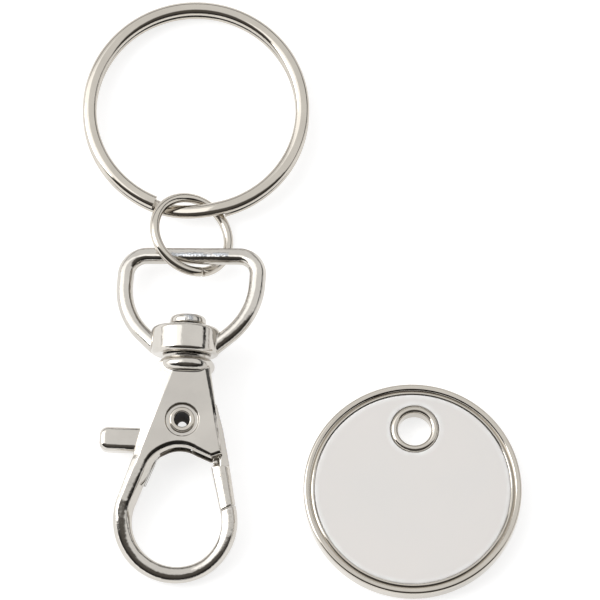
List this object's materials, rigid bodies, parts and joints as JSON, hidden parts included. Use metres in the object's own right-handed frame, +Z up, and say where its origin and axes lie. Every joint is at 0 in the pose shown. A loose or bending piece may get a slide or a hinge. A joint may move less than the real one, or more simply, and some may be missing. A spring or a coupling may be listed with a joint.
{
  "type": "coin holder keyring",
  "caption": "Split key ring joined by a jump ring to a swivel clasp with a sprung gate, and a loose round coin with a rimmed face and an eyelet.",
  "frame": {"origin": "centre of the bounding box in plan, on the table that everything lies on", "axes": "+Y along the clasp to the split ring, +Z up out of the clasp's front, +X to the coin"},
  "size_m": [0.0486, 0.0656, 0.0075],
  "materials": {
    "nickel_wire": "bright nickel plate on drawn wire",
    "nickel_casting": "bright nickel plate on a zinc casting",
    "spring_wire": "drawn spring steel",
    "enamel": "satin white enamel"
  },
  "bodies": {
    "clasp": {"clasp_body": "nickel_casting", "pivot_rivet": "nickel_wire", "gate_spring": "spring_wire"},
    "gate": {"gate_lever": "nickel_casting"},
    "eye": {"swivel_eye": "nickel_casting"},
    "link": {"jump_ring": "nickel_wire"},
    "key_ring": {"split_ring": "nickel_wire"},
    "coin": {"coin_body": "nickel_casting", "coin_inlay": "enamel"}
  },
  "joints": [
    {"name": "gate_hinge", "type": "hinge", "parent": "clasp", "child": "gate", "pos_m": [-0.0121, -0.01512, 0.00282], "axis": [0, -0.1057, 0.9944], "range_deg": [-25, 0], "stiffness_Nm_per_rad": 0.0035, "springref_deg": 68.75, "deforming": ["gate_spring"]},
    {"name": "swivel", "type": "hinge", "parent": "clasp", "child": "eye", "pos_m": [-0.0119, -0.00637, 0.00376], "axis": [0, 0.9944, 0.1057], "continuous": true},
    {"name": "link_swing", "type": "hinge", "parent": "eye", "child": "link", "pos_m": [-0.01164, 0.0034, 0.00328], "axis": [0.9774, -0.036, 0.2082], "range_deg": [-60, 60]},
    {"name": "key_ring_swing", "type": "hinge", "parent": "link", "child": "key_ring", "pos_m": [-0.01208, 0.00878, 0.00194], "axis": [1, 0, 0], "range_deg": [-35, 35]},
    {"name": "coin_lift", "type": "slide", "parent": "clasp", "child": "coin", "axis": [0, 0, 1], "range_m": [0, 0.03]}
  ]
}
